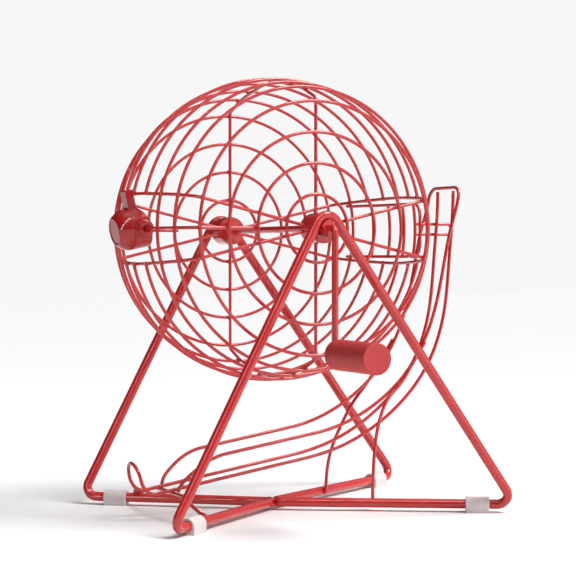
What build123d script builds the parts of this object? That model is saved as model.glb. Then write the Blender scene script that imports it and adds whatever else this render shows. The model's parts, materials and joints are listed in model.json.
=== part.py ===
"""A hand-cranked bingo cage: a wire drum on a bent tube stand, with a ball trap, a door and a chute.

Everything is drawn around the middle of the drum's shaft, with the shaft along Y, the crank at -Y, the
ball trap at -X and the chute's mouth at +X. save() then moves each piece so that the feet stand on Z = 0.
"""

import os
from math import acos, atan2, cos, degrees, hypot, pi, radians, sin

from build123d import *

os.makedirs("parts", exist_ok=True)

# Wires and tubes
TUBE_R = 5.0
CAGE_WIRE_R = 1.7
CHUTE_WIRE_R = 1.85
SHAFT_R = 3.5
CRANK_R = 3.4
GAP = 0.05
LAID_ON = 2 * CAGE_WIRE_R + GAP

# Drum: each ring's radius and its distance from the middle, outermost disc ring last
DISC_Y = 109.7
DISC_RING_RADII = (34.5, 65.9, 97.3, 128.6)
EDGE_RING = (145.1, 84.4)
SHOULDER_RING = (152.2, 56.2)
INNER_RING = (157.6, 28.1)
MIDDLE_RING = (160.0, 0.0)
PAIR_ANGLE = 13.3
RIB_ANGLES = (90, 180 - PAIR_ANGLE, 180 + PAIR_ANGLE, 270, -PAIR_ANGLE, PAIR_ANGLE)
RING_OVERHANG = 0.9
RIB_BEND_R = 6.0
RIB_CORNER_R = 132.5
TRAP_WIRE_TUCK = 2.5
TRAP_WIRE_TURN_Y = 34.0

# Hubs and bearings
HUB_FLANGE_R = 15.3
HUB_FLANGE_Y = (101.0, 125.5)
HUB_COLLAR_R = 11.0
HUB_COLLAR_Y = 90.0
HUB_ROUNDING = 1.2
HUB_RECESS_R = 8.5
HUB_RECESS_DEPTH = 2.5
AXLE_STUB = 1.0
AXLE_CAP_R = 5.5
AXLE_CAP_ROUNDING = 1.5
BEARING_R = 6.9
BEARING_Y = (126.0, 137.0)
RUNNING_FIT = 0.06

# Stand: a closed loop of tube, two A-frames whose floor bars run back to the middle
FRAME_Y = 131.1
LEFT_FOOT_X = -166.8
RIGHT_FOOT_X = 224.6
BAR_Z = -291.2
APEX_BEND_R = 12.5
CORNER_BEND_R = 11.0
HAIRPIN_BEND_R = 7.5
LEFT_HAIRPIN_VERTEX = 1.9
FOOT_LENGTH = 25.0
FOOT_R = 8.0
FOOT_SOLE = 8.5

# Chute
SIDE_RAIL_Y = 31.8
BOTTOM_RAIL_Y = 16.5
CROSSBAR_X = 217.0
CROSSBAR_Z = 48.2
CROSSBAR_BEND_R = 12.0
CROSSBAR_LEAN = 11.3
BRIDGE_X = -118.0

# Crank and grip
CRANK_ARM_Y = -148.5
CRANK_DROP = 125.4
CRANK_BEND_R = 5.5
GRIP_R = 15.4
GRIP_Y = (-235.0, -154.4)
GRIP_ROUNDING = 1.0
GRIP_BLIND_END = 10.0

# Ball trap
PIVOT_X = -151.5
CUP_TILT = 12.0
CUP_R = 21.5
CUP_WALL = 2.1
CUP_DOME_AT = (-9.8, 1.5)
CUP_MOUTH_AT = 7.7
CUP_END_AT = -25.8
DISH_RIM = 1.6
DISH_DEPTH = 0.9
CUP_OUTER_X = -180.03
BOSS_R = 8.2
BOSS_Y = 26.0
BOSS_RECESS_R = 3.7
BOSS_RECESS_DEPTH = 2.2
PIN_ROOT_Y = 20.2

# Door
DOOR_WIRE_Z = 28.8
DOOR_END_Y = -57.0
HINGE_EYE_R = 4.4

# Where the middle of the shaft is, above the floor and from the middle of the whole object
TRIP_END_X = 237.4
REAR_END_Y = 142.0
HUB_X = -(TRIP_END_X + CAGE_WIRE_R + CUP_OUTER_X) / 2
HUB_Y = -(REAR_END_Y + GRIP_Y[0]) / 2
HUB_Z = FOOT_SOLE - BAR_Z


def save(builder, name):
    """Moves a finished piece onto the floor's frame and writes it as a STEP file."""
    builder.part = builder.part.moved(Location((HUB_X, HUB_Y, HUB_Z)))
    builder.part.label = name
    export_step(builder.part, f"parts/{name}.step")


def ray_point(radius, angle, y):
    """A point at a radius and an angle about the shaft, where 0 degrees is +X and 90 is up."""
    return (radius * cos(radians(angle)), y, radius * sin(radians(angle)))


def inside_of(ring, before, after):
    """A rib's centre under a barrel ring, square to the barrel's outline there."""
    dr, dy = after[0] - before[0], after[1] - before[1]
    length = hypot(dr, dy)
    return (ring[0] - LAID_ON * dy / length, ring[1] + LAID_ON * dr / length)


# ---------------------------------------------------------------- drum rings

END_RING = (DISC_RING_RADII[3], DISC_Y)
BARREL = [EDGE_RING, SHOULDER_RING, INNER_RING, MIDDLE_RING]


def full_ring(radius, y, name):
    with BuildPart() as ring:
        with BuildSketch(Plane.XY):
            with Locations((radius, y)):
                Circle(CAGE_WIRE_R)
        revolve(axis=Axis.Y)
    save(ring, name)


def ring_arc(radius, y, start, end, name):
    """An open ring, whose ends are welded to the ribs beside a gap."""
    with BuildPart() as arc:
        with BuildLine():
            ThreePointArc(
                ray_point(radius, start, y),
                ray_point(radius, (start + end) / 2, y),
                ray_point(radius, end, y),
            )
        with BuildSketch(Plane(ray_point(radius, start, y), z_dir=ray_point(1, start + 90, 0))):
            Circle(CAGE_WIRE_R)
        sweep()
    save(arc, name)


for end_name, side in (("front", -1), ("rear", 1)):
    for number, disc_radius in enumerate(DISC_RING_RADII, start=1):
        full_ring(disc_radius, side * DISC_Y, f"{end_name}_disc_ring_{number}")
    full_ring(EDGE_RING[0], side * EDGE_RING[1], f"{end_name}_edge_ring")
    gap_edge = PAIR_ANGLE - RING_OVERHANG
    shoulder_r, shoulder_y = SHOULDER_RING
    ring_arc(shoulder_r, side * shoulder_y, gap_edge, 360 - gap_edge, f"{end_name}_shoulder_ring")
    for half, start in (("upper", gap_edge), ("lower", 180 + gap_edge)):
        end = start + 180 - 2 * gap_edge
        ring_arc(INNER_RING[0], side * INNER_RING[1], start, end, f"{end_name}_inner_ring_{half}")
for half, start in (("upper", gap_edge), ("lower", 180 + gap_edge)):
    ring_arc(MIDDLE_RING[0], 0, start, start + 180 - 2 * gap_edge, f"middle_ring_{half}")

# ---------------------------------------------------------------- drum ribs and trap wires

RIB_DISC_Y = DISC_Y - LAID_ON
RIB_EDGE = inside_of(EDGE_RING, SHOULDER_RING, END_RING)
RIB_SHOULDER = inside_of(SHOULDER_RING, INNER_RING, EDGE_RING)
RIB_INNER = inside_of(INNER_RING, MIDDLE_RING, SHOULDER_RING)
RIB_MIDDLE = (MIDDLE_RING[0] - LAID_ON, 0)
RIB_CORNER = (RIB_CORNER_R, RIB_DISC_Y)


def meridian(angle):
    """The plane through the shaft at an angle, with x outward from the shaft and y along it."""
    return Plane(origin=(0, 0, 0), x_dir=ray_point(1, angle, 0), z_dir=ray_point(1, angle + 90, 0))


def rib(angle, name):
    """One wire from hub to hub: out along the front disc, over the barrel and in along the rear disc."""
    plane = meridian(angle)
    flip = 1 if plane.y_dir.Y > 0 else -1

    def at(point, side):
        return (point[0], flip * side * point[1])

    slope = (RIB_EDGE[0] - RIB_CORNER[0], flip * (RIB_CORNER[1] - RIB_EDGE[1]))
    with BuildPart() as wire:
        with BuildLine(plane) as path:
            FilletPolyline(
                at((HUB_FLANGE_R + GAP, RIB_DISC_Y), -1),
                at(RIB_CORNER, -1),
                at(RIB_EDGE, -1),
                radius=RIB_BEND_R,
            )
            Spline(
                at(RIB_EDGE, -1),
                at(RIB_SHOULDER, -1),
                at(RIB_INNER, -1),
                RIB_MIDDLE,
                at(RIB_INNER, 1),
                at(RIB_SHOULDER, 1),
                at(RIB_EDGE, 1),
                tangents=(slope, (-slope[0], slope[1])),
            )
            FilletPolyline(
                at(RIB_EDGE, 1),
                at(RIB_CORNER, 1),
                at((HUB_FLANGE_R + GAP, RIB_DISC_Y), 1),
                radius=RIB_BEND_R,
            )
        rib_start = ray_point(HUB_FLANGE_R + GAP, angle, -RIB_DISC_Y)
        with BuildSketch(Plane(rib_start, z_dir=ray_point(1, angle, 0))):
            Circle(CAGE_WIRE_R)
        sweep()
    save(wire, name)


RIB_NAMES = ("top", "left_upper", "left_lower", "bottom", "right_lower", "right_upper")
for rib_angle, rib_name in zip(RIB_ANGLES, RIB_NAMES):
    rib(rib_angle, f"{rib_name}_rib")

TRAP_WIRE_ROOT = DISC_RING_RADII[1] - TRAP_WIRE_TUCK
for end_name, side in (("front", -1), ("rear", 1)):
    with BuildPart() as trap_wire:
        with BuildLine():
            FilletPolyline(
                (-TRAP_WIRE_ROOT, side * RIB_DISC_Y, 0),
                (-RIB_CORNER[0], side * RIB_DISC_Y, 0),
                (-RIB_EDGE[0], side * RIB_EDGE[1], 0),
                radius=RIB_BEND_R,
            )
            Spline(
                (-RIB_EDGE[0], side * RIB_EDGE[1], 0),
                (-RIB_SHOULDER[0], side * RIB_SHOULDER[1], 0),
                (PIVOT_X, side * TRAP_WIRE_TURN_Y, 0),
                tangents=((RIB_CORNER[0] - RIB_EDGE[0], side * (RIB_EDGE[1] - RIB_CORNER[1])), (0, -side)),
            )
            Line((PIVOT_X, side * TRAP_WIRE_TURN_Y, 0), (PIVOT_X, side * PIN_ROOT_Y, 0))
        with BuildSketch(Plane((-TRAP_WIRE_ROOT, side * RIB_DISC_Y, 0), z_dir=(-1, 0, 0))):
            Circle(CAGE_WIRE_R)
        sweep()
    save(trap_wire, f"{end_name}_trap_wire")

# ---------------------------------------------------------------- shaft, hubs, crank and grip

AXIAL = Plane.XZ

with BuildPart() as shaft:
    with BuildSketch(AXIAL):
        Circle(SHAFT_R)
    extrude(amount=HUB_FLANGE_Y[0] - GAP, both=True)
save(shaft, "drum_shaft")

for end_name, outward in (("front", -1), ("rear", 1)):
    with BuildPart() as hub:
        with BuildSketch(AXIAL.offset(-outward * HUB_COLLAR_Y)):
            Circle(HUB_COLLAR_R)
        extrude(amount=-outward * (HUB_FLANGE_Y[0] - HUB_COLLAR_Y))
        with BuildSketch(AXIAL.offset(-outward * HUB_FLANGE_Y[0])):
            Circle(HUB_FLANGE_R)
        extrude(amount=-outward * (HUB_FLANGE_Y[1] - HUB_FLANGE_Y[0]))
        outer_edges = hub.edges().group_by(Axis.Y)[0 if outward < 0 else -1]
        fillet(outer_edges, HUB_ROUNDING)
        with BuildSketch(AXIAL.offset(-outward * HUB_FLANGE_Y[1])):
            Circle(HUB_RECESS_R)
        extrude(amount=outward * HUB_RECESS_DEPTH, mode=Mode.SUBTRACT)
        with BuildSketch(AXIAL.offset(-outward * HUB_COLLAR_Y)):
            Circle(SHAFT_R + GAP)
        extrude(amount=-outward * (HUB_FLANGE_Y[0] - HUB_COLLAR_Y), mode=Mode.SUBTRACT)
        with BuildSketch(AXIAL.offset(-outward * HUB_FLANGE_Y[0])):
            Circle(CRANK_R + GAP)
        extrude(amount=-outward * (HUB_FLANGE_Y[1] - HUB_FLANGE_Y[0]), mode=Mode.SUBTRACT)
    save(hub, f"{end_name}_hub")

with BuildPart() as crank:
    with BuildLine():
        FilletPolyline(
            (0, -HUB_FLANGE_Y[0] - GAP, 0),
            (0, CRANK_ARM_Y, 0),
            (0, CRANK_ARM_Y, -CRANK_DROP),
            (0, GRIP_Y[0] + GRIP_BLIND_END + 2, -CRANK_DROP),
            radius=CRANK_BEND_R,
        )
    with BuildSketch(AXIAL.offset(HUB_FLANGE_Y[0] + GAP)):
        Circle(CRANK_R)
    sweep()
save(crank, "crank_rod")

with BuildPart() as grip:
    with BuildSketch(Plane.XZ.offset(-GRIP_Y[1])):
        with Locations((0, -CRANK_DROP)):
            Circle(GRIP_R)
    extrude(amount=GRIP_Y[1] - GRIP_Y[0])
    fillet(grip.edges().filter_by(GeomType.CIRCLE), GRIP_ROUNDING)
    with BuildSketch(Plane.XZ.offset(-GRIP_Y[1])):
        with Locations((0, -CRANK_DROP)):
            Circle(CRANK_R + RUNNING_FIT)
    extrude(amount=GRIP_Y[1] - GRIP_Y[0] - GRIP_BLIND_END, mode=Mode.SUBTRACT)
save(grip, "crank_grip")

with BuildPart() as axle:
    with BuildSketch(AXIAL.offset(-HUB_FLANGE_Y[0] - GAP)):
        Circle(CRANK_R)
    extrude(amount=HUB_FLANGE_Y[0] + GAP - BEARING_Y[1] - AXLE_STUB)
save(axle, "rear_axle")

with BuildPart() as axle_cap:
    with BuildSketch(AXIAL.offset(-BEARING_Y[1] - AXLE_STUB - GAP)):
        Circle(AXLE_CAP_R)
    extrude(amount=BEARING_Y[1] + AXLE_STUB + GAP - REAR_END_Y)
    fillet(axle_cap.edges().group_by(Axis.Y)[-1], AXLE_CAP_ROUNDING)
save(axle_cap, "rear_axle_cap")

for end_name, outward in (("front", -1), ("rear", 1)):
    with BuildPart() as bearing:
        with BuildSketch(AXIAL.offset(-outward * BEARING_Y[0])):
            Circle(BEARING_R)
            Circle(CRANK_R + RUNNING_FIT, mode=Mode.SUBTRACT)
        extrude(amount=-outward * (BEARING_Y[1] - BEARING_Y[0]))
    save(bearing, f"{end_name}_bearing_sleeve")

# ---------------------------------------------------------------- stand tubes

LEFT_HALF_ANGLE = degrees(atan2(FRAME_Y, LEFT_HAIRPIN_VERTEX - LEFT_FOOT_X))
RIGHT_HALF_ANGLE = degrees(atan2(FRAME_Y, RIGHT_FOOT_X))


def apex_vertex():
    """Where the two legs would meet if the bend round the shaft were sharp."""
    tangents = []
    for foot_x, side in ((LEFT_FOOT_X, -1), (RIGHT_FOOT_X, 1)):
        to_foot = atan2(BAR_Z, foot_x)
        swing = acos(APEX_BEND_R / hypot(foot_x, BAR_Z))
        tangents.append((to_foot + side * swing) % (2 * pi))
    middle, half = (tangents[0] + tangents[1]) / 2, (tangents[0] - tangents[1]) / 2
    reach = APEX_BEND_R / cos(half)
    return reach * cos(middle), reach * sin(middle)


def hairpin_centre(vertex, half_angle, side):
    return vertex + side * HAIRPIN_BEND_R / sin(radians(half_angle))


for end_name, side in (("front", -1), ("rear", 1)):
    left_centre = hairpin_centre(LEFT_HAIRPIN_VERTEX, LEFT_HALF_ANGLE, -1)
    right_centre = hairpin_centre(0, RIGHT_HALF_ANGLE, 1)
    left_turn = side * (90 - LEFT_HALF_ANGLE)
    right_turn = -side * (90 - RIGHT_HALF_ANGLE)
    apex_x, apex_z = apex_vertex()
    with BuildPart() as frame_tube:
        with BuildLine():
            left_bend = CenterArc((left_centre, 0, BAR_Z), HAIRPIN_BEND_R, 0, left_turn)
            right_bend = CenterArc((right_centre, 0, BAR_Z), HAIRPIN_BEND_R, 180, right_turn)
            FilletPolyline(
                left_bend @ 1,
                (LEFT_FOOT_X, side * FRAME_Y, BAR_Z),
                (apex_x, side * FRAME_Y, apex_z),
                (RIGHT_FOOT_X, side * FRAME_Y, BAR_Z),
                right_bend @ 1,
                radius=(CORNER_BEND_R, APEX_BEND_R, CORNER_BEND_R),
            )
        with BuildSketch(Plane(left_bend @ 0, z_dir=(0, side, 0))):
            Circle(TUBE_R)
        sweep()
    save(frame_tube, f"{end_name}_frame_tube")

# ---------------------------------------------------------------- clip-on feet

FEET = {
    "front_left_foot": (LEFT_HAIRPIN_VERTEX, LEFT_FOOT_X, -1, 41),
    "front_right_foot": (0, RIGHT_FOOT_X, -1, 40),
    "rear_left_foot": (LEFT_HAIRPIN_VERTEX, LEFT_FOOT_X, 1, 39),
    "rear_right_foot": (0, RIGHT_FOOT_X, 1, 41),
}
for foot_name, (vertex_x, foot_x, side, from_corner) in FEET.items():
    bar_length = hypot(foot_x - vertex_x, FRAME_Y)
    along = ((foot_x - vertex_x) / bar_length, side * FRAME_Y / bar_length, 0)
    reach = bar_length - from_corner - FOOT_LENGTH / 2
    across = Plane(
        origin=(vertex_x + along[0] * reach, along[1] * reach, BAR_Z),
        x_dir=(along[1], -along[0], 0),
        z_dir=along,
    )
    up = 1 if across.y_dir.Z > 0 else -1
    with BuildPart() as foot:
        with BuildSketch(across):
            Circle(FOOT_R)
            with Locations((0, -up * FOOT_SOLE / 2)):
                Rectangle(2 * FOOT_R, FOOT_SOLE)
            Circle(TUBE_R + GAP, mode=Mode.SUBTRACT)
        extrude(amount=FOOT_LENGTH)
    save(foot, foot_name)

# ---------------------------------------------------------------- chute

TROUGH_SLOPE = 0.163
LEANING_UP = (sin(radians(CROSSBAR_LEAN)), 0, cos(radians(CROSSBAR_LEAN)))


def bend_point(side, angle):
    """A point on a corner of the crossbar, where 0 degrees is on the side rail."""
    rise = CROSSBAR_BEND_R * (1 - sin(radians(angle)))
    return (
        CROSSBAR_X - rise * LEANING_UP[0],
        side * (SIDE_RAIL_Y - CROSSBAR_BEND_R * (1 - cos(radians(angle)))),
        CROSSBAR_Z - rise * LEANING_UP[2],
    )


def side_rail_half(side):
    """Half of the side rail, from its low end on the bridge up to the middle of the crossbar."""
    y = side * SIDE_RAIL_Y
    low_end = (BRIDGE_X + 2, side * 22.6, -270.6)
    turn = (-66, y, -232.9)
    low_knee = (-104, side * 28.5, -252.5)
    Spline(low_end, low_knee, turn, tangents=((0.1, side * 0.4, 1), (1, 0, TROUGH_SLOPE)))
    Line(turn, (40, y, -215.6))
    Spline(
        (40, y, -215.6),
        (99.9, y, -194.1),
        (146.1, y, -157.9),
        (174.4, y, -114.3),
        (193.8, y, -49.4),
        (206.0, y, 5.6),
        bend_point(side, 0),
        tangents=((1, 0, TROUGH_SLOPE), LEANING_UP),
    )


def quarter_bend(side):
    """The rounded corner between a side rail and the crossbar."""
    ThreePointArc(bend_point(side, 0), bend_point(side, 45), bend_point(side, 90))


with BuildPart() as side_rails:
    with BuildLine() as rail_path:
        side_rail_half(-1)
        quarter_bend(-1)
        Line(
            (CROSSBAR_X, CROSSBAR_BEND_R - SIDE_RAIL_Y, CROSSBAR_Z),
            (CROSSBAR_X, SIDE_RAIL_Y - CROSSBAR_BEND_R, CROSSBAR_Z),
        )
        quarter_bend(1)
        side_rail_half(1)
    with BuildSketch(Plane(rail_path.line @ 0, z_dir=rail_path.line % 0)):
        Circle(CHUTE_WIRE_R)
    sweep()
save(side_rails, "chute_side_rails")

LOOP_BASE = (-137.0, -272.2)
LOOP_RISE = (-154.5, -258.0)


def bottom_rail_half(side):
    """Half of the bottom rails' wire, from under the crossbar down to the top of the end loop."""
    y = side * BOTTOM_RAIL_Y
    Spline(
        (CROSSBAR_X + 0.4, y, CROSSBAR_Z - 2 * CHUTE_WIRE_R - GAP),
        (212.5, y, -30),
        (205.0, y, -94.3),
        (184.1, y, -148.9),
        (145.4, y, -193.6),
        (96.6, y, -225.2),
        (31.3, y, -244.6),
        tangents=((0, 0, -1), (-1, 0, -TROUGH_SLOPE)),
    )
    Line((31.3, y, -244.6), (LOOP_BASE[0], y, LOOP_BASE[1]))
    Spline(
        (LOOP_BASE[0], y, LOOP_BASE[1]),
        (LOOP_RISE[0], y, LOOP_RISE[1]),
        tangents=((-1, 0, -TROUGH_SLOPE), (-0.25, 0, 1)),
    )


with BuildPart() as bottom_rails:
    with BuildLine() as rail_path:
        bottom_rail_half(-1)
        ThreePointArc(
            (LOOP_RISE[0], -BOTTOM_RAIL_Y, LOOP_RISE[1]),
            (LOOP_RISE[0] - 0.25 * BOTTOM_RAIL_Y, 0, LOOP_RISE[1] + BOTTOM_RAIL_Y),
            (LOOP_RISE[0], BOTTOM_RAIL_Y, LOOP_RISE[1]),
        )
        bottom_rail_half(1)
    with BuildSketch(Plane(rail_path.line @ 0, z_dir=rail_path.line % 0)):
        Circle(CHUTE_WIRE_R)
    sweep()
save(bottom_rails, "chute_bottom_rails")

BRIDGE_TOP_Z = -272.95
BRIDGE_END_Y = 97.0
BRIDGE_KNEE_Y = 84.0
BRIDGE_TOP_Y = 36.0
BRIDGE_BEND_R = 16.0
BRIDGE_FOOT_Z = BAR_Z + TUBE_R + CHUTE_WIRE_R + GAP
with BuildPart() as bridge:
    with BuildLine():
        FilletPolyline(
            (BRIDGE_X, -BRIDGE_END_Y, BRIDGE_FOOT_Z),
            (BRIDGE_X, -BRIDGE_KNEE_Y, BRIDGE_FOOT_Z),
            (BRIDGE_X, -BRIDGE_TOP_Y, BRIDGE_TOP_Z),
            (BRIDGE_X, BRIDGE_TOP_Y, BRIDGE_TOP_Z),
            (BRIDGE_X, BRIDGE_KNEE_Y, BRIDGE_FOOT_Z),
            (BRIDGE_X, BRIDGE_END_Y, BRIDGE_FOOT_Z),
            radius=BRIDGE_BEND_R,
        )
    with BuildSketch(Plane((BRIDGE_X, -BRIDGE_END_Y, BRIDGE_FOOT_Z), z_dir=(0, 1, 0))):
        Circle(CHUTE_WIRE_R)
    sweep()
save(bridge, "chute_end_support")

BESIDE_RAIL = SIDE_RAIL_Y + 2 * CHUTE_WIRE_R + GAP
BESIDE_BAR = (TUBE_R + CHUTE_WIRE_R + GAP) / cos(radians(RIGHT_HALF_ANGLE))
SUPPORT_TOP = ((146.1, BESIDE_RAIL, -157.9), (169.8, BESIDE_RAIL, -122.5))
SUPPORTS = {
    "front": (-1, 97.4, ((99.9, 47.5, -245.9), (108.3, 43.0, -208.2), (122.1, 38.5, -182.6))),
    "rear": (1, 88.9, ((93.8, 42.4, -248.4), (105.6, 40.5, -219.0), (121.5, 38.0, -190.5))),
}
for end_name, (side, foot_x, knees) in SUPPORTS.items():
    foot = (foot_x, side * (foot_x * FRAME_Y / RIGHT_FOOT_X - BESIDE_BAR), BAR_Z - 1.5)
    bends = [(x, side * y, z) for x, y, z in (*knees, SUPPORT_TOP[0])]
    tip = (SUPPORT_TOP[1][0], side * SUPPORT_TOP[1][1], SUPPORT_TOP[1][2])
    along_rail = [end - start for start, end in zip(*SUPPORT_TOP)]
    with BuildPart() as support:
        with BuildLine() as support_path:
            Spline(foot, *bends, tangents=((0.03, 0, 1), along_rail))
            Line(bends[-1], tip)
        with BuildSketch(Plane(support_path.line @ 0, z_dir=support_path.line % 0)):
            Circle(CHUTE_WIRE_R)
        sweep()
    save(support, f"{end_name}_chute_support")

TRIP_Y = BOTTOM_RAIL_Y + CHUTE_WIRE_R + CAGE_WIRE_R + GAP
TRIP_HALF = 5.8
TRIP_MIDDLE_Z = 2.0
TRIP_TIP_X = 190.8
with BuildPart() as trip:
    with BuildLine() as trip_path:
        Line(
            (TRIP_TIP_X, TRIP_Y, TRIP_MIDDLE_Z - TRIP_HALF),
            (TRIP_END_X - TRIP_HALF, TRIP_Y, TRIP_MIDDLE_Z - TRIP_HALF),
        )
        ThreePointArc(
            (TRIP_END_X - TRIP_HALF, TRIP_Y, TRIP_MIDDLE_Z - TRIP_HALF),
            (TRIP_END_X, TRIP_Y, TRIP_MIDDLE_Z),
            (TRIP_END_X - TRIP_HALF, TRIP_Y, TRIP_MIDDLE_Z + TRIP_HALF),
        )
        Line(
            (TRIP_END_X - TRIP_HALF, TRIP_Y, TRIP_MIDDLE_Z + TRIP_HALF),
            (TRIP_TIP_X, TRIP_Y, TRIP_MIDDLE_Z + TRIP_HALF),
        )
    with BuildSketch(Plane(trip_path.line @ 0, z_dir=trip_path.line % 0)):
        Circle(CAGE_WIRE_R)
    sweep()
save(trip, "trap_trip_wire")

# ---------------------------------------------------------------- ball trap

TAB_X = -4.0
TAB_WIDTH = 8.8
TAB_TOP = 41.2
TAB_HALF = 7.5
DOME_X, AXIS_UP = CUP_DOME_AT
CUP_PLANE = Plane(
    origin=(PIVOT_X, 0, 0),
    x_dir=(cos(radians(CUP_TILT)), 0, sin(radians(CUP_TILT))),
    z_dir=(0, -1, 0),
)
CUP_AXIS = Axis(CUP_PLANE.from_local_coords((0, AXIS_UP, 0)), CUP_PLANE.x_dir)


def cup_outline(radius, end_x, mouth_x):
    """Half of a domed cylinder's section, cut flat at the end of its dome."""
    end_r = (radius**2 - (end_x - DOME_X) ** 2) ** 0.5
    middle = (degrees(atan2(end_r, end_x - DOME_X)) + 90) / 2
    Polyline(
        (end_x, AXIS_UP + end_r),
        (end_x, AXIS_UP),
        (mouth_x, AXIS_UP),
        (mouth_x, AXIS_UP + radius),
        (DOME_X, AXIS_UP + radius),
    )
    ThreePointArc(
        (DOME_X, AXIS_UP + radius),
        (DOME_X + radius * cos(radians(middle)), AXIS_UP + radius * sin(radians(middle))),
        (end_x, AXIS_UP + end_r),
    )


DISH_R = (CUP_R**2 - (CUP_END_AT - DOME_X) ** 2) ** 0.5 - DISH_RIM
MOUTH_SLANT = ((0.6, 24.5), (0.6, 22.4), (9.2, 8.6), (12.0, 8.6), (12.0, 24.5))

with BuildPart() as cup:
    with BuildSketch(CUP_PLANE):
        with BuildLine():
            cup_outline(CUP_R, CUP_END_AT, CUP_MOUTH_AT)
        make_face()
    revolve(axis=CUP_AXIS)
    with BuildSketch(CUP_PLANE):
        with Locations((TAB_X, (AXIS_UP + CUP_R + TAB_TOP) / 2 - 1)):
            Rectangle(TAB_WIDTH, TAB_TOP - AXIS_UP - CUP_R + 2)
    extrude(amount=TAB_HALF, both=True)
    fillet(cup.edges().filter_by(Axis.Y).group_by(Axis.Z)[-2:], 0.8)
    with BuildSketch(CUP_PLANE):
        Circle(BOSS_R)
    extrude(amount=BOSS_Y, both=True)
    with BuildSketch(CUP_PLANE):
        with BuildLine():
            cup_outline(CUP_R - CUP_WALL, CUP_END_AT + CUP_WALL, CUP_MOUTH_AT + 1)
        make_face()
    revolve(axis=CUP_AXIS, mode=Mode.SUBTRACT)
    with BuildSketch(CUP_PLANE):
        with Locations((CUP_END_AT + DISH_DEPTH / 2, AXIS_UP + DISH_R / 2)):
            Rectangle(DISH_DEPTH, DISH_R)
    revolve(axis=CUP_AXIS, mode=Mode.SUBTRACT)
    with BuildSketch(CUP_PLANE):
        with BuildLine():
            Polyline(*MOUTH_SLANT, close=True)
        make_face()
    extrude(amount=CUP_R + 1, both=True, mode=Mode.SUBTRACT)
    for side in (-1, 1):
        with BuildSketch(CUP_PLANE.offset(side * BOSS_Y)):
            Circle(BOSS_RECESS_R)
        extrude(amount=-side * BOSS_RECESS_DEPTH, mode=Mode.SUBTRACT)
        with BuildSketch(CUP_PLANE.offset(side * BOSS_Y)):
            Circle(CAGE_WIRE_R + RUNNING_FIT)
        extrude(amount=-side * (BOSS_Y - PIN_ROOT_Y + 0.3), mode=Mode.SUBTRACT)
save(cup, "ball_trap_cup")

# ---------------------------------------------------------------- loading door


def door_x(ring, lift):
    """How far out a door wire lies where the barrel has this ring's radius, plus a lift."""
    return ((ring[0] + lift) ** 2 - DOOR_WIRE_Z**2) ** 0.5


HINGE_X = door_x(EDGE_RING, 0)
HINGE_Y = EDGE_RING[1]
DOOR_LIFT = 0.5
DOOR_CORNER_R = 14.0
DOOR_END_X = door_x(SHOULDER_RING, DOOR_LIFT) + 1
EYE_END = 265


def hinge_side(z):
    """One long side of the door: an eye rolled round the edge ring, then a run over the barrel."""
    CenterArc((HINGE_X, HINGE_Y, z), HINGE_EYE_R, 0, EYE_END)
    Spline(
        (HINGE_X + HINGE_EYE_R, HINGE_Y, z),
        (door_x(SHOULDER_RING, DOOR_LIFT), SHOULDER_RING[1], z),
        (door_x(INNER_RING, DOOR_LIFT), INNER_RING[1], z),
        (door_x(MIDDLE_RING, DOOR_LIFT), 0, z),
        (door_x(INNER_RING, DOOR_LIFT), -INNER_RING[1], z),
        (DOOR_END_X, DOOR_END_Y + DOOR_CORNER_R, z),
        tangents=((0, -1, 0), (0, -1, 0)),
    )


def door_corner(side):
    """A rounded corner at the door's free end."""
    short = DOOR_CORNER_R * (1 - cos(radians(45)))
    ThreePointArc(
        (DOOR_END_X, DOOR_END_Y + DOOR_CORNER_R, side * DOOR_WIRE_Z),
        (DOOR_END_X, DOOR_END_Y + short, side * (DOOR_WIRE_Z - short)),
        (DOOR_END_X, DOOR_END_Y, side * (DOOR_WIRE_Z - DOOR_CORNER_R)),
    )


with BuildPart() as door_wire:
    with BuildLine() as door_path:
        hinge_side(-DOOR_WIRE_Z)
        door_corner(-1)
        Line(
            (DOOR_END_X, DOOR_END_Y, DOOR_CORNER_R - DOOR_WIRE_Z),
            (DOOR_END_X, DOOR_END_Y, DOOR_WIRE_Z - DOOR_CORNER_R),
        )
        door_corner(1)
        hinge_side(DOOR_WIRE_Z)
    with BuildSketch(Plane(door_path.line @ 0, z_dir=door_path.line % 0)):
        Circle(CAGE_WIRE_R)
    sweep()
save(door_wire, "door_frame_wire")

CROSS_WIRES = (
    ("rear_shoulder", SHOULDER_RING[0], SHOULDER_RING[1]),
    ("rear_inner", INNER_RING[0], INNER_RING[1]),
    ("middle", MIDDLE_RING[0], 0),
    ("front_inner", INNER_RING[0], -INNER_RING[1]),
)
CROSS_LIFT = DOOR_LIFT + 2 * CAGE_WIRE_R + 0.2
for cross_name, ring_r, cross_y in CROSS_WIRES:
    reach = degrees(atan2(DOOR_WIRE_Z + 1.5, ring_r))
    ring_arc(ring_r + CROSS_LIFT, cross_y, -reach, reach, f"door_cross_wire_{cross_name}")
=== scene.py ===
"""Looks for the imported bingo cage.

Glossy red paint on the wires, weld nuggets, a moulded trap, grip and feet, and the floor, lights
and camera around them.
"""

import json
import math
import random

import bmesh
import bpy
from mathutils import Matrix, Vector, noise


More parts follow.
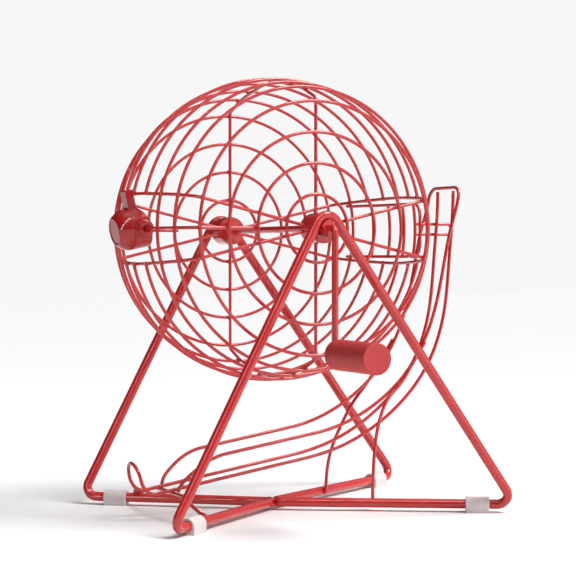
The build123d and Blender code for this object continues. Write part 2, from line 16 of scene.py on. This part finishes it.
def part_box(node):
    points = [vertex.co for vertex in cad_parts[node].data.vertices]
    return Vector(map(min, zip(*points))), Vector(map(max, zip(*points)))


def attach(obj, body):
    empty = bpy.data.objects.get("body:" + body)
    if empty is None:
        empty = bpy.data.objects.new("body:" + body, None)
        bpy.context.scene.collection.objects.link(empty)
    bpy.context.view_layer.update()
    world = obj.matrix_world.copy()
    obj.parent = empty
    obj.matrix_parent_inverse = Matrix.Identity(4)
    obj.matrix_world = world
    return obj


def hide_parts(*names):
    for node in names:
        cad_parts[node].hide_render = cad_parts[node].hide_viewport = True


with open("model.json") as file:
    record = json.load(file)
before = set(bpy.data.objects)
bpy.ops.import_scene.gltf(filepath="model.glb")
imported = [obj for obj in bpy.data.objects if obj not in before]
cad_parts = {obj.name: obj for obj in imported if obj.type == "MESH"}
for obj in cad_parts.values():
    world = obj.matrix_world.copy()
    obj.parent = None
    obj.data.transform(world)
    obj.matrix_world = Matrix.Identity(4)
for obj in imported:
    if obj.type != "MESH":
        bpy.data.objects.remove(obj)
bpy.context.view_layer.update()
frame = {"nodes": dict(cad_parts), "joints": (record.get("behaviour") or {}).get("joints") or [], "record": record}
NODES = frame["nodes"]
JOINTS = {joint["name"]: joint for joint in frame["joints"]}
SLOTS = {part["node"]: part["material_slot"] for part in frame["record"]["subparts"]}
HUB = Vector(JOINTS["drum_spin"]["pos_m"])
MM = 0.001
UP = Vector((0, 0, 1))
SHAFT = Vector((0, 1, 0))
END_SIDES = (("front", -1), ("rear", 1))
MIX_A, MIX_B, MIX_RESULT = 6, 7, 2  # the colour sockets of a Mix node
rng = random.Random(7)

# ---------------------------------------------------------------- materials


class Shader:
    """A Principled material whose colour, roughness and bump come from noise in object space."""

    def __init__(self, name, roughness, coat=0.0, coat_roughness=0.1):
        self.material = bpy.data.materials.new(name)
        self.material.use_nodes = True
        self.tree = self.material.node_tree
        self.tree.nodes.clear()
        self.output = self.add("ShaderNodeOutputMaterial")
        self.surface = self.add("ShaderNodeBsdfPrincipled")
        self.surface.inputs["Roughness"].default_value = roughness
        self.surface.inputs["Coat Weight"].default_value = coat
        self.surface.inputs["Coat Roughness"].default_value = coat_roughness
        self.link(self.surface.outputs[0], self.output.inputs["Surface"])
        self.place = self.add("ShaderNodeTexCoord").outputs["Object"]
        self.normal = None

    def add(self, kind, **settings):
        made = self.tree.nodes.new(kind)
        for key, value in settings.items():
            setattr(made, key, value)
        return made

    def link(self, a, b):
        self.tree.links.new(a, b)

    def noise(self, scale, detail=4.0, roughness=0.55, distortion=0.0):
        """Noise with scale cells to the metre."""
        made = self.add("ShaderNodeTexNoise")
        made.inputs["Scale"].default_value = scale
        made.inputs["Detail"].default_value = detail
        made.inputs["Roughness"].default_value = roughness
        made.inputs["Distortion"].default_value = distortion
        self.link(self.place, made.inputs["Vector"])
        return made.outputs["Fac"]

    def specks(self, scale, size):
        """Small round marks, 1 inside a mark and 0 elsewhere."""
        cells = self.add("ShaderNodeTexVoronoi", feature="F1")
        cells.inputs["Scale"].default_value = scale
        self.link(self.place, cells.inputs["Vector"])
        return self.span(cells.outputs["Distance"], size, size * 0.6, 0.0, 1.0)

    def span(self, value, low, high, to_low, to_high):
        """A value between low and high moved to between to_low and to_high, and held there."""
        made = self.add("ShaderNodeMapRange")
        made.clamp = True
        keys = ("From Min", "From Max", "To Min", "To Max")
        for key, number in zip(keys, (low, high, to_low, to_high)):
            made.inputs[key].default_value = number
        self.link(value, made.inputs["Value"])
        return made.outputs["Result"]

    def times(self, a, b):
        made = self.add("ShaderNodeMath", operation="MULTIPLY")
        self.link(a, made.inputs[0])
        self.link(b, made.inputs[1])
        return made.outputs[0]

    def mix(self, factor, a, b):
        """A colour between a and b, each a colour or another node's output."""
        made = self.add("ShaderNodeMix", data_type="RGBA")
        self.link(factor, made.inputs["Factor"])
        for socket, value in ((made.inputs[MIX_A], a), (made.inputs[MIX_B], b)):
            if isinstance(value, tuple):
                socket.default_value = (*value, 1)
            else:
                self.link(value, socket)
        return made.outputs[MIX_RESULT]

    def colour(self, value):
        self.link(value, self.surface.inputs["Base Color"])

    def roughness(self, value):
        self.link(value, self.surface.inputs["Roughness"])

    def bump(self, height, strength, distance):
        made = self.add("ShaderNodeBump")
        made.inputs["Strength"].default_value = strength
        made.inputs["Distance"].default_value = distance
        self.link(height, made.inputs["Height"])
        if self.normal is not None:
            self.link(self.normal, made.inputs["Normal"])
        self.normal = made.outputs["Normal"]
        self.link(self.normal, self.surface.inputs["Normal"])


def red_paint():
    """Gloss paint on wire: a faint orange peel, thin and thick patches, and a few small chips."""
    paint = Shader("red_paint", 0.16, coat=0.4, coat_roughness=0.05)
    thick = paint.span(paint.noise(24, detail=2), 0.35, 0.65, 0, 1)
    patchy = paint.mix(thick, (0.530, 0.020, 0.021), (0.580, 0.025, 0.026))
    clouds = paint.span(paint.noise(330, detail=4), 0.4, 0.75, 0, 0.2)
    cloudy = paint.mix(clouds, patchy, (0.45, 0.015, 0.016))
    knocked = paint.span(paint.noise(20, detail=2), 0.62, 0.66, 0, 0.6)
    chips = paint.times(paint.specks(260, 0.13), knocked)
    paint.colour(paint.mix(chips, cloudy, (0.18, 0.012, 0.014)))
    paint.roughness(paint.span(paint.noise(110, detail=4), 0.3, 0.7, 0.10, 0.17))
    paint.bump(paint.noise(600, detail=2), 0.05, 0.0002)
    paint.bump(paint.noise(90, detail=2), 0.04, 0.0005)
    return paint.material


def red_plastic():
    """Polished moulded plastic with faint flow marks and fine scratches from the balls."""
    plastic = Shader("red_plastic", 0.15, coat=0.1, coat_roughness=0.03)
    flow = plastic.span(plastic.noise(26, detail=4, distortion=1.6), 0.35, 0.7, 0, 1)
    base = plastic.mix(flow, (0.36, 0.011, 0.012), (0.42, 0.014, 0.015))
    rubbed = plastic.span(plastic.noise(900, detail=6, roughness=0.7), 0.58, 0.72, 0, 0.2)
    plastic.colour(plastic.mix(rubbed, base, (0.45, 0.03, 0.03)))
    plastic.roughness(plastic.span(plastic.noise(260, detail=6), 0.3, 0.72, 0.10, 0.20))
    plastic.bump(plastic.noise(50, detail=2), 0.05, 0.0006)
    plastic.bump(plastic.noise(1500, detail=3), 0.03, 0.0001)
    return plastic.material


def grip_plastic():
    """The grip's plastic, with a fine moulded texture that hands have rubbed smoother in places."""
    plastic = Shader("grip_plastic", 0.6)
    handled = plastic.span(plastic.noise(45, detail=3), 0.4, 0.68, 0, 1)
    base = plastic.mix(handled, (0.50, 0.036, 0.037), (0.46, 0.031, 0.032))
    grain = plastic.span(plastic.noise(1300, detail=3), 0.35, 0.7, 0, 0.3)
    plastic.colour(plastic.mix(grain, base, (0.56, 0.05, 0.05)))
    plastic.roughness(plastic.span(plastic.noise(70, detail=4), 0.35, 0.68, 0.66, 0.52))
    plastic.bump(plastic.noise(1500, detail=2), 0.2, 0.0002)
    return plastic.material


def foot_plastic():
    """Off-white soft plastic, greyer where dust has rubbed in."""
    plastic = Shader("foot_plastic", 0.55)
    dusty = plastic.span(plastic.noise(130, detail=5), 0.42, 0.72, 0, 0.8)
    base = plastic.mix(dusty, (0.72, 0.66, 0.65), (0.58, 0.52, 0.51))
    specks = plastic.specks(700, 0.2)
    plastic.colour(plastic.mix(plastic.times(specks, dusty), base, (0.40, 0.34, 0.33)))
    plastic.roughness(plastic.span(plastic.noise(220, detail=4), 0.3, 0.7, 0.45, 0.68))
    plastic.bump(plastic.noise(1200, detail=3), 0.2, 0.0003)
    return plastic.material


def pale_floor():
    """Matt paper, very slightly uneven."""
    paper = Shader("pale_floor", 0.8)
    paper.colour(paper.mix(paper.noise(3, detail=2), (0.88, 0.88, 0.88), (0.90, 0.90, 0.90)))
    paper.bump(paper.noise(200, detail=2), 0.02, 0.0004)
    return paper.material


MATERIALS = {
    "red_paint": red_paint(),
    "red_plastic": red_plastic(),
    "grip_plastic": grip_plastic(),
    "foot_plastic": foot_plastic(),
}

for node_name, node_object in NODES.items():
    node_object.data.materials.clear()
    node_object.data.materials.append(MATERIALS[SLOTS[node_name]])

# ---------------------------------------------------------------- pieces


def finish_piece(mesh, name, body, slot):
    """A smooth piece of the object from a mesh, on a body and with a slot's material."""
    mesh.name = name
    mesh.materials.clear()
    mesh.materials.append(MATERIALS[slot])
    for face in mesh.polygons:
        face.use_smooth = True
    piece = bpy.data.objects.new(name, mesh)
    bpy.context.scene.collection.objects.link(piece)
    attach(piece, body)
    return piece


def moulded(node, name, body, slot, voxel, rounds):
    """A node's shape again with softly rounded edges, as a mould or thick paint leaves them."""
    working = bpy.data.objects.new(name + "_working", NODES[node].data.copy())
    bpy.context.scene.collection.objects.link(working)
    remesh = working.modifiers.new("remesh", "REMESH")
    remesh.mode = "VOXEL"
    remesh.voxel_size = voxel
    smooth = working.modifiers.new("smooth", "SMOOTH")
    smooth.factor = 0.5
    smooth.iterations = rounds
    bpy.context.view_layer.update()
    evaluated = working.evaluated_get(bpy.context.evaluated_depsgraph_get())
    mesh = bpy.data.meshes.new_from_object(evaluated)
    bpy.data.objects.remove(working)
    piece = finish_piece(mesh, name, body, slot)
    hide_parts(node)
    return piece


def millimetres(*sizes):
    return tuple(size * MM for size in sizes)


CROSSING = millimetres(2.5, 2.7, 1.3)
DISC_CROSSING = millimetres(2.7, 2.5, 1.3)
RIB_ROOT = millimetres(2.6, 2.4, 1.5)
RIB_ROOT_LIFT = 0.6 * MM
COLLAR_BEAD = millimetres(1.5, 2.2, 1.2)
COLLAR_R = 4.2 * MM
COLLAR_BEADS = 9
SEAM_HALF_WIDTH = 1.1 * MM
SEAM_SWELL = 1.14
SLEEVE_BEAD = millimetres(1.6, 2.3, 1.3)
SLEEVE_R = 7.3 * MM
SLEEVE_INSET = 1.2 * MM
SLEEVE_BEADS = 7
TUBE_R = 5 * MM
CHUTE_WIRE_R = 1.85 * MM
FRAME_JOINT = millimetres(3.4, 3.2, 2.2)
FRAME_JOINT_STEP = 3.6 * MM
FRAME_JOINT_LIFT = 3.0 * MM
SUPPORT_BEAD = millimetres(3.2, 4.0, 2.0)
SUPPORT_LIFT = 0.8 * MM
BRIDGE_BEAD = millimetres(5.0, 3.2, 1.7)
BRIDGE_INSET = 3.8 * MM
UNEVENNESS = 0.16
LUMPS = 1.6


def basis(normal, along):
    """A turn whose columns are along, across and normal."""
    normal = normal.normalized()
    across = normal.cross(along).normalized()
    return Matrix((across.cross(normal), across, normal)).transposed()


def nugget(bm, centre, normal, along, radii, divisions=2):
    """A weld nugget: a flattened, uneven drop of metal under the paint.

    The radii are along, across and normal to the surface that it lies on.
    """
    turn = basis(normal, along)
    offset = Vector((rng.uniform(-50, 50), rng.uniform(-50, 50), rng.uniform(-50, 50)))
    size = rng.uniform(0.9, 1.12)
    made = bmesh.ops.create_icosphere(bm, subdivisions=divisions, radius=1.0)
    for vertex in made["verts"]:
        uneven = size * (1 + UNEVENNESS * noise.noise(vertex.co * LUMPS + offset))
        local = Vector(component * radius * uneven for component, radius in zip(vertex.co, radii))
        vertex.co = centre + turn @ local


def weld_piece(name, body, welds, divisions=2):
    """One piece of many nuggets, each given as its centre, normal, along and radii."""
    bm = bmesh.new()
    for weld in welds:
        nugget(bm, *weld, divisions=divisions)
    mesh = bpy.data.meshes.new(name)
    bm.to_mesh(mesh)
    bm.free()
    return finish_piece(mesh, name, body, "red_paint")


def spoke(angle):
    """The direction away from the shaft at an angle in degrees, where 0 is +X and 90 is up."""
    return Vector((math.cos(math.radians(angle)), 0, math.sin(math.radians(angle))))


def ring_of(node):
    """A ring's radius and middle along the shaft, and its wire's radius."""
    low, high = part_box(node)
    wire = (high.y - low.y) / 2
    return high.z - HUB.z - wire, (high.y + low.y) / 2 - HUB.y, wire


PAIR_ANGLE = 13.3
RIB_ANGLES = (90, 180 - PAIR_ANGLE, 180 + PAIR_ANGLE, 270, -PAIR_ANGLE, PAIR_ANGLE)
BARREL = ("edge_ring", "shoulder_ring", "inner_ring_upper")
BUTT_JOINTED = ("disc_ring_1", "disc_ring_2", "disc_ring_3", "disc_ring_4", "edge_ring")


def drum_welds():
    """The ribs onto every ring, and the seam where each ring's ends meet."""
    welds = []
    for end_name, side in END_SIDES:
        for number in (1, 2, 3, 4):
            radius, y, wire = ring_of(f"{end_name}_disc_ring_{number}")
            angles = RIB_ANGLES + ((180,) if number > 2 else ())
            for angle in angles:
                centre = HUB + spoke(angle) * radius + SHAFT * (y - side * wire)
                welds.append((centre, SHAFT, spoke(angle), DISC_CROSSING))
        for ring_name in BARREL:
            radius, y, wire = ring_of(f"{end_name}_{ring_name}")
            angles = RIB_ANGLES + ((180,) if ring_name != "inner_ring_upper" else ())
            for angle in angles:
                centre = HUB + spoke(angle) * (radius - wire) + SHAFT * y
                welds.append((centre, spoke(angle), SHAFT, CROSSING))
    for ring_name in BUTT_JOINTED:
        for end_name, _ in END_SIDES:
            radius, y, wire = ring_of(f"{end_name}_{ring_name}")
            around = spoke(rng.uniform(230, 255))
            along = around.cross(SHAFT)
            seam = (SEAM_HALF_WIDTH, wire * SEAM_SWELL, wire * SEAM_SWELL)
            welds.append((HUB + around * radius + SHAFT * y, around, along, seam))
    radius, y, wire = ring_of("middle_ring_upper")
    for angle in RIB_ANGLES:
        welds.append((HUB + spoke(angle) * (radius - wire), spoke(angle), SHAFT, CROSSING))
    return welds


def hub_welds():
    """The ribs onto the hubs, and the hubs onto the shaft."""
    welds = []
    for end_name, side in END_SIDES:
        low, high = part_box(f"{end_name}_hub")
        hub_r = (high.z - low.z) / 2
        ring_y, wire = ring_of(f"{end_name}_disc_ring_1")[1:]
        for angle in RIB_ANGLES:
            rib_y = ring_y - side * 2 * wire
            centre = HUB + spoke(angle) * (hub_r + RIB_ROOT_LIFT) + SHAFT * rib_y
            welds.append((centre, spoke(angle), SHAFT, RIB_ROOT))
        inner_y = (high.y if side < 0 else low.y) - HUB.y
        for step in range(COLLAR_BEADS):
            around = spoke(360 / COLLAR_BEADS * step + rng.uniform(-6, 6))
            centre = HUB + around * COLLAR_R + SHAFT * inner_y
            welds.append((centre, SHAFT, around, COLLAR_BEAD))
    return welds


def bearing_welds():
    """The bearing sleeves onto the insides of the tube bends above them."""
    welds = []
    for end_name, _ in END_SIDES:
        low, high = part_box(f"{end_name}_bearing_sleeve")
        for y in (low.y + SLEEVE_INSET, high.y - SLEEVE_INSET):
            for step in range(SLEEVE_BEADS):
                around = spoke(18 + 24 * step + rng.uniform(-4, 4))
                centre = Vector((HUB.x, y, HUB.z)) + around * SLEEVE_R
                welds.append((centre, around, SHAFT, SLEEVE_BEAD))
    return welds


def stand_welds():
    """The two frames where they meet in the middle, and the chute's wires onto the floor bars."""
    bar_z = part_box("front_frame_tube")[0].z + TUBE_R
    welds = []
    for up in (-1, 1):
        for step in (-1, 0, 1):
            joint_y = HUB.y + FRAME_JOINT_STEP * step
            centre = Vector((HUB.x, joint_y, bar_z + up * FRAME_JOINT_LIFT))
            welds.append((centre, UP, SHAFT, FRAME_JOINT))
    for end_name, side in END_SIDES:
        low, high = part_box(f"{end_name}_chute_support")
        wire_y = low.y + CHUTE_WIRE_R if side < 0 else high.y - CHUTE_WIRE_R
        touching_y = wire_y + side * CHUTE_WIRE_R
        centre = Vector((low.x + CHUTE_WIRE_R, touching_y, bar_z + SUPPORT_LIFT))
        welds.append((centre, side * SHAFT, Vector((1, 0, 0)), SUPPORT_BEAD))
        low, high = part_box("chute_end_support")
        end_y = low.y + BRIDGE_INSET if side < 0 else high.y - BRIDGE_INSET
        centre = Vector(((low.x + high.x) / 2, end_y, bar_z + TUBE_R))
        welds.append((centre, UP, SHAFT, BRIDGE_BEAD))
    return welds


weld_piece("drum_weld_nuggets", "drum", drum_welds())
weld_piece("hub_weld_nuggets", "drum", hub_welds())
weld_piece("bearing_weld_beads", "stand", bearing_welds())
weld_piece("stand_weld_beads", "stand", stand_welds(), divisions=3)

moulded("ball_trap_cup", "trap_cup_moulding", "trap", "red_plastic", 0.00045, 5)
moulded("crank_grip", "grip_moulding", "grip", "grip_plastic", 0.0006, 4)
for foot in ("front_left", "front_right", "rear_left", "rear_right"):
    moulded(f"{foot}_foot", f"{foot}_foot_clip", "stand", "foot_plastic", 0.0005, 4)

# ---------------------------------------------------------------- floor, lights and camera


BACKDROP = (0.93, 0.93, 0.93, 1)
STUDIO_DARK, STUDIO_DARK_UNTIL = (0.05, 0.05, 0.05, 1), 0.15
STUDIO_BRIGHT, STUDIO_BRIGHT_FROM = (0.46, 0.46, 0.47, 1), 0.75
STUDIO_BRIGHT_SIDE = (0.60, -0.25, 0.75)
FLOOR_HALF = 9.0


def make_floor():
    bm = bmesh.new()
    bmesh.ops.create_grid(bm, x_segments=8, y_segments=8, size=FLOOR_HALF)
    mesh = bpy.data.meshes.new("floor")
    bm.to_mesh(mesh)
    bm.free()
    mesh.materials.append(pale_floor())
    made = bpy.data.objects.new("floor", mesh)
    bpy.context.scene.collection.objects.link(made)


def make_world():
    """A pale backdrop to look at, and a dimmer studio around it that is darkest on the left."""
    world = bpy.data.worlds.new("studio")
    bpy.context.scene.world = world
    world.use_nodes = True
    nodes, links = world.node_tree.nodes, world.node_tree.links
    nodes.clear()
    direction = nodes.new("ShaderNodeTexCoord")
    toward_bright = nodes.new("ShaderNodeVectorMath")
    ramp = nodes.new("ShaderNodeValToRGB")
    seen = nodes.new("ShaderNodeLightPath")
    choose = nodes.new("ShaderNodeMix")
    background = nodes.new("ShaderNodeBackground")
    output = nodes.new("ShaderNodeOutputWorld")
    toward_bright.operation = "DOT_PRODUCT"
    toward_bright.inputs[1].default_value = STUDIO_BRIGHT_SIDE
    dark, bright = ramp.color_ramp.elements
    dark.position, dark.color = STUDIO_DARK_UNTIL, STUDIO_DARK
    bright.position, bright.color = STUDIO_BRIGHT_FROM, STUDIO_BRIGHT
    choose.data_type = "RGBA"
    choose.inputs[MIX_B].default_value = BACKDROP
    links.new(direction.outputs["Generated"], toward_bright.inputs[0])
    links.new(toward_bright.outputs["Value"], ramp.inputs["Fac"])
    links.new(ramp.outputs["Color"], choose.inputs[MIX_A])
    links.new(seen.outputs["Is Camera Ray"], choose.inputs["Factor"])
    links.new(choose.outputs[MIX_RESULT], background.inputs["Color"])
    links.new(background.outputs[0], output.inputs["Surface"])


def add_light(name, kind, place, energy, lengthwise=(0, 0, 1)):
    """A light at a place about the hub, aimed at the hub, with its long side lengthwise."""
    data = bpy.data.lights.new(name, kind)
    data.energy = energy
    light = bpy.data.objects.new(name, data)
    light.location = HUB + Vector(place)
    light.rotation_mode = "QUATERNION"
    light.rotation_quaternion = basis(Vector(place), Vector(lengthwise)).to_quaternion()
    bpy.context.scene.collection.objects.link(light)
    return light


def softbox(name, place, size, energy, lengthwise=(0, 0, 1)):
    light = add_light(name, "AREA", place, energy, lengthwise)
    light.data.shape = "RECTANGLE"
    light.data.size, light.data.size_y = size
    return light


def make_camera():
    """A little to the left of the crank's end and just below the shaft, angles in radians."""
    bearing, turn, tilt = 0.4437, 0.4539, 0.0200
    distance, below = 1.8132, 0.0259
    data = bpy.data.cameras.new("camera")
    data.sensor_width = 36
    data.lens = 106.06
    data.clip_start, data.clip_end = 0.05, 60
    camera = bpy.data.objects.new("camera", data)
    away = Vector((-math.sin(bearing) * distance, -math.cos(bearing) * distance, -below))
    camera.location = HUB + away
    forward = Vector((math.sin(turn), math.cos(turn), -math.tan(tilt)))
    camera.rotation_mode = "QUATERNION"
    camera.rotation_quaternion = forward.to_track_quat("-Z", "Y")
    bpy.context.scene.collection.objects.link(camera)
    bpy.context.scene.camera = camera


make_floor()
make_world()
add_light("sun", "SUN", (1.0, -0.9, 2.1), 3.1).data.angle = math.radians(24)
softbox("top", (0.2, -0.2, 1.9), (2.0, 2.0), 8)
softbox("right_panel", (1.5, -1.9, 0.2), (1.5, 1.9), 10)
streak = softbox("streak", (-1.05, -1.0, 0.95), (2.8, 0.08), 16, lengthwise=(1, 0, 1))
streak.visible_diffuse = False
make_camera()
bpy.context.scene.view_settings.view_transform = "Standard"
